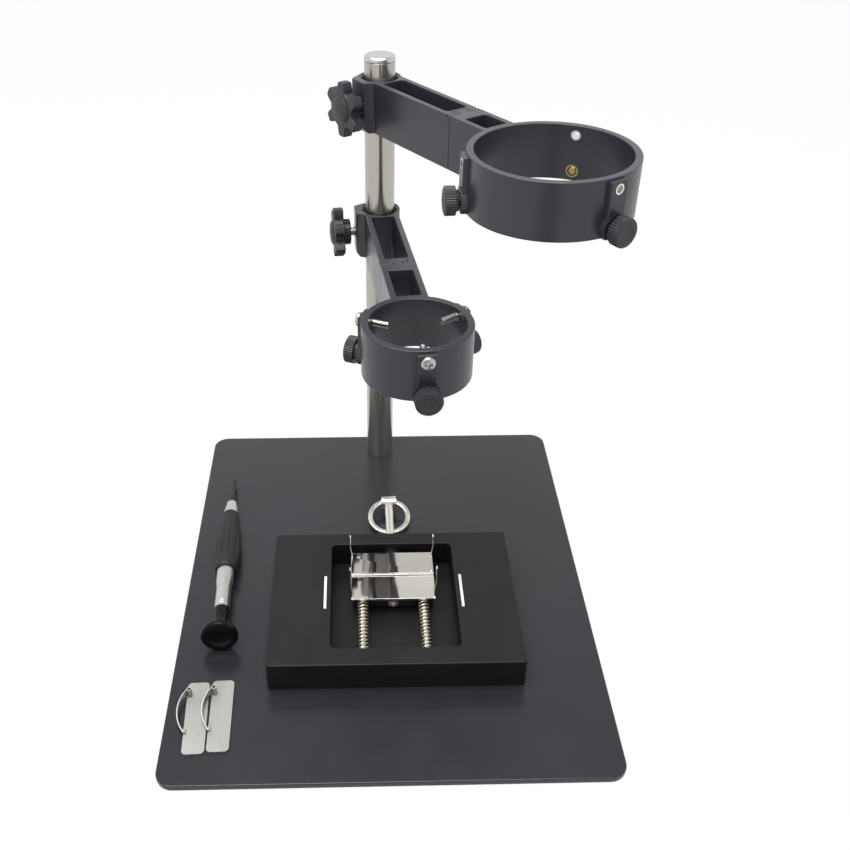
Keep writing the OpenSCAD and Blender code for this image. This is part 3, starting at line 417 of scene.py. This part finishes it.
def spring(piece, across):
    """One coil with a closed turn at each end, its axis along Y."""
    bpy.ops.object.select_all(action="DESELECT")
    bpy.ops.mesh.primitive_circle_add(vertices=WIRE_SIDES, radius=WIRE_R, location=(COIL_R, 0, 0),
                                      rotation=(math.radians(90), 0, 0))
    coil = bpy.context.object
    coil.name = piece
    bpy.ops.object.transform_apply(location=True, rotation=True)
    wind = coil.modifiers.new("wind", "SCREW")
    wind.screw_offset = spring_run / COILS
    wind.iterations = COILS
    wind.steps = COIL_STEPS
    wind.render_steps = COIL_STEPS
    bpy.ops.object.modifier_apply(modifier=wind.name)
    for end in (0, spring_run):
        bpy.ops.mesh.primitive_torus_add(major_radius=COIL_R, minor_radius=WIRE_R,
                                         major_segments=COIL_STEPS, minor_segments=WIRE_SIDES,
                                         location=(0, 0, end))
        coil.select_set(True)
        bpy.context.view_layer.objects.active = coil
        bpy.ops.object.join()
    bpy.ops.object.mode_set(mode="EDIT")
    bpy.ops.mesh.select_all(action="SELECT")
    bpy.ops.mesh.fill_holes(sides=WIRE_SIDES)
    bpy.ops.mesh.normals_make_consistent(inside=False)
    bpy.ops.object.mode_set(mode="OBJECT")
    coil.rotation_euler = (math.radians(-90), 0, 0)
    coil.location = (across, spring_low[1] + WIRE_R, (spring_low[2] + spring_high[2]) / 2)
    bpy.ops.object.transform_apply(location=True, rotation=True)
    bpy.ops.object.shade_smooth()
    wear(coil, spring_wire)
    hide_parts("jaw_springs")
    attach(coil, "jig")
    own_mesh(coil)


spring("left_spring", spring_low[0] + COIL_R + WIRE_R)
spring("right_spring", spring_high[0] - COIL_R - WIRE_R)

# Push rod and wire ring: nickelled steel. The rod goes through the jig's back wall to the front
# jaw, and the ring is loose in the rod's eye.
wear(soften("push_rod_bar", "push_rod", "front_jaw", 0.3), nickel)
wear(soften("pull_band", "pull_ring", "pull_ring", 0.35, sharp=25), nickel)

# Screwdriver: black oxide blade, satin ferrule and barrel, fluted rubber grip, gloss swivel cap. It
# lies loose on the plate, and the cap turns on the neck.
blade_black = surface("blade_black", (0.015, 0.015, 0.016), (0.025, 0.025, 0.026), (0.3, 0.42),
                      metallic=0.6)
rubber = surface("grip_rubber", (0.006, 0.0057, 0.006), (0.010, 0.0095, 0.010), (0.55, 0.7), grain=1500,
                 depth_mm=0.008, specular=0.4, dust=(0.10, 0.10, 0.10))
gloss_black = surface("cap_gloss", (0.004, 0.004, 0.0045), (0.006, 0.006, 0.0065), (0.22, 0.32),
                      specular=0.12)
satin_alu = surface("satin_alu", (0.52, 0.52, 0.51), (0.60, 0.60, 0.59), (0.3, 0.42), metallic=1.0,
                    grain=900, depth_mm=0.003)
wear(soften("driver_shank", "driver_blade", "driver", 0.1, steps=2), blade_black)
wear(soften("driver_collar", "driver_ferrule", "driver", 0.3), satin_alu)
wear(soften("driver_handle", "driver_grip", "driver", 0.4, edges="roomy"), rubber)
wear(soften("driver_tube", "driver_barrel", "driver", 0.1, steps=2), satin_alu)
wear(soften("driver_throat", "driver_neck", "driver", 0.2), gloss_black)
wear(soften("driver_dish", "driver_cap", "driver_cap", 0.4), gloss_black)

# Clips: satin stainless plates with a bowed leaf for the jig's side slots. They lie loose on the
# plate, the left one partly under the right one's leaf.
clip_steel = surface("clip_steel", (0.33, 0.32, 0.305), (0.44, 0.43, 0.41), (0.42, 0.58), metallic=1.0,
                     patch=70, grain=900, depth_mm=0.003, stretch=(1, 0.3, 1))
for side in ("left", "right"):
    body = f"clip_{side}"
    wear(soften(f"{body}_sheet", body, body, 0.12, steps=2), clip_steel)

# Studio: a white floor that keeps a faint shadow, a surround that is white near the floor and
# grey above, one soft lamp overhead and a dark card in front that only polished metal sees.
FLOOR_SIZE = 8
FLOOR_DROP = 0.0002
CARD_PLACE = (0.012, -0.29, 0.11)
CARD_SIZE = (0.11, 0.22, 1)
LAMP_PLACE = (-0.15, -0.12, 1.2)
LAMP_TURN = (math.radians(5), math.radians(-7), 0)
LAMP_SIZE = 0.9
LAMP_POWER = 20
bpy.ops.object.select_all(action="DESELECT")
bpy.ops.mesh.primitive_plane_add(size=FLOOR_SIZE, location=(0, 0, -FLOOR_DROP))
floor = bpy.context.object
floor.name = "studio_floor"
floor_paint = bpy.data.materials.new("floor_paint")
floor_paint.use_nodes = True
floor_nodes = floor_paint.node_tree.nodes
floor_links = floor_paint.node_tree.links
floor_shader = floor_nodes["Principled BSDF"]
floor_shader.inputs["Base Color"].default_value = (0.4, 0.4, 0.4, 1)
floor_shader.inputs["Roughness"].default_value = 0.9
floor_shader.inputs["Specular IOR Level"].default_value = 0
glow = floor_nodes.new("ShaderNodeEmission")
glow.inputs["Strength"].default_value = 1.06
ray = floor_nodes.new("ShaderNodeLightPath")
direct = floor_nodes.new("ShaderNodeMath")
direct.operation = "ADD"
direct.use_clamp = True
through = floor_nodes.new("ShaderNodeMath")
through.operation = "ADD"
through.use_clamp = True
share = floor_nodes.new("ShaderNodeMath")
share.operation = "MULTIPLY"
share.inputs[1].default_value = 0.88
lit = floor_nodes.new("ShaderNodeMixShader")
floor_links.new(ray.outputs["Is Camera Ray"], direct.inputs[0])
floor_links.new(ray.outputs["Is Glossy Ray"], direct.inputs[1])
floor_links.new(direct.outputs["Value"], through.inputs[0])
floor_links.new(ray.outputs["Is Transmission Ray"], through.inputs[1])
floor_links.new(through.outputs["Value"], share.inputs[0])
floor_links.new(share.outputs["Value"], lit.inputs["Fac"])
floor_links.new(floor_shader.outputs["BSDF"], lit.inputs[1])
floor_links.new(glow.outputs["Emission"], lit.inputs[2])
floor_links.new(lit.outputs["Shader"], floor_nodes["Material Output"].inputs["Surface"])
floor.data.materials.append(floor_paint)

bpy.ops.mesh.primitive_plane_add(size=1, location=CARD_PLACE, rotation=(math.radians(90), 0, 0))
card = bpy.context.object
card.name = "dark_card"
card.scale = CARD_SIZE
bpy.ops.object.transform_apply(scale=True, rotation=True, location=True)
card_paint = bpy.data.materials.new("card_paint")
card_paint.use_nodes = True
card_shader = card_paint.node_tree.nodes["Principled BSDF"]
card_shader.inputs["Base Color"].default_value = (0, 0, 0, 1)
card_shader.inputs["Specular IOR Level"].default_value = 0
card_shader.inputs["Emission Color"].default_value = (0.22, 0.20, 0.185, 1)
card_shader.inputs["Emission Strength"].default_value = 1
card.data.materials.append(card_paint)
card.visible_camera = False
card.visible_diffuse = False
card.visible_shadow = False

world = bpy.data.worlds.new("white_surround")
bpy.context.scene.world = world
world.use_nodes = True
sky_nodes = world.node_tree.nodes
sky_links = world.node_tree.links
sky = sky_nodes["Background"]
sky.inputs["Color"].default_value = (1, 1, 1, 1)
sky_ray = sky_nodes.new("ShaderNodeLightPath")
aim = sky_nodes.new("ShaderNodeTexCoord")
rise = sky_nodes.new("ShaderNodeSeparateXYZ")
fade = sky_nodes.new("ShaderNodeMapRange")
fade.interpolation_type = "SMOOTHSTEP"
fade.inputs["From Min"].default_value = 0.58
fade.inputs["From Max"].default_value = 0.80
fade.inputs["To Min"].default_value = 1.0
fade.inputs["To Max"].default_value = 0.5
level = sky_nodes.new("ShaderNodeMix")
level.inputs["B"].default_value = 1
sky_links.new(aim.outputs["Generated"], rise.inputs["Vector"])
sky_links.new(rise.outputs["Z"], fade.inputs["Value"])
sky_links.new(fade.outputs["Result"], level.inputs["A"])
sky_links.new(sky_ray.outputs["Is Camera Ray"], level.inputs["Factor"])
sky_links.new(level.outputs["Result"], sky.inputs["Strength"])

bpy.ops.object.light_add(type="AREA", location=LAMP_PLACE, rotation=LAMP_TURN)
lamp = bpy.context.object
lamp.name = "overhead"
lamp.data.size = LAMP_SIZE
lamp.data.energy = LAMP_POWER

# Camera: stands in front of the plate and looks down on it. Its place and lens were solved from
# the plate's corners, the post and the rings.
CAMERA_PLACE = (-0.0111, -0.3891, 0.3680)
CAMERA_DIP = 36.15
CAMERA_TURN = -1.31
camera_data = bpy.data.cameras.new("camera")
camera_data.sensor_width = 36
camera_data.lens = 43.44
camera_data.shift_x = 0.0524
camera_data.shift_y = 0.0298
camera = bpy.data.objects.new("camera", camera_data)
bpy.context.scene.collection.objects.link(camera)
camera.location = CAMERA_PLACE
camera.rotation_euler = (math.radians(90 - CAMERA_DIP), 0, math.radians(CAMERA_TURN))
bpy.context.scene.camera = camera
bpy.context.scene.view_settings.view_transform = "Standard"
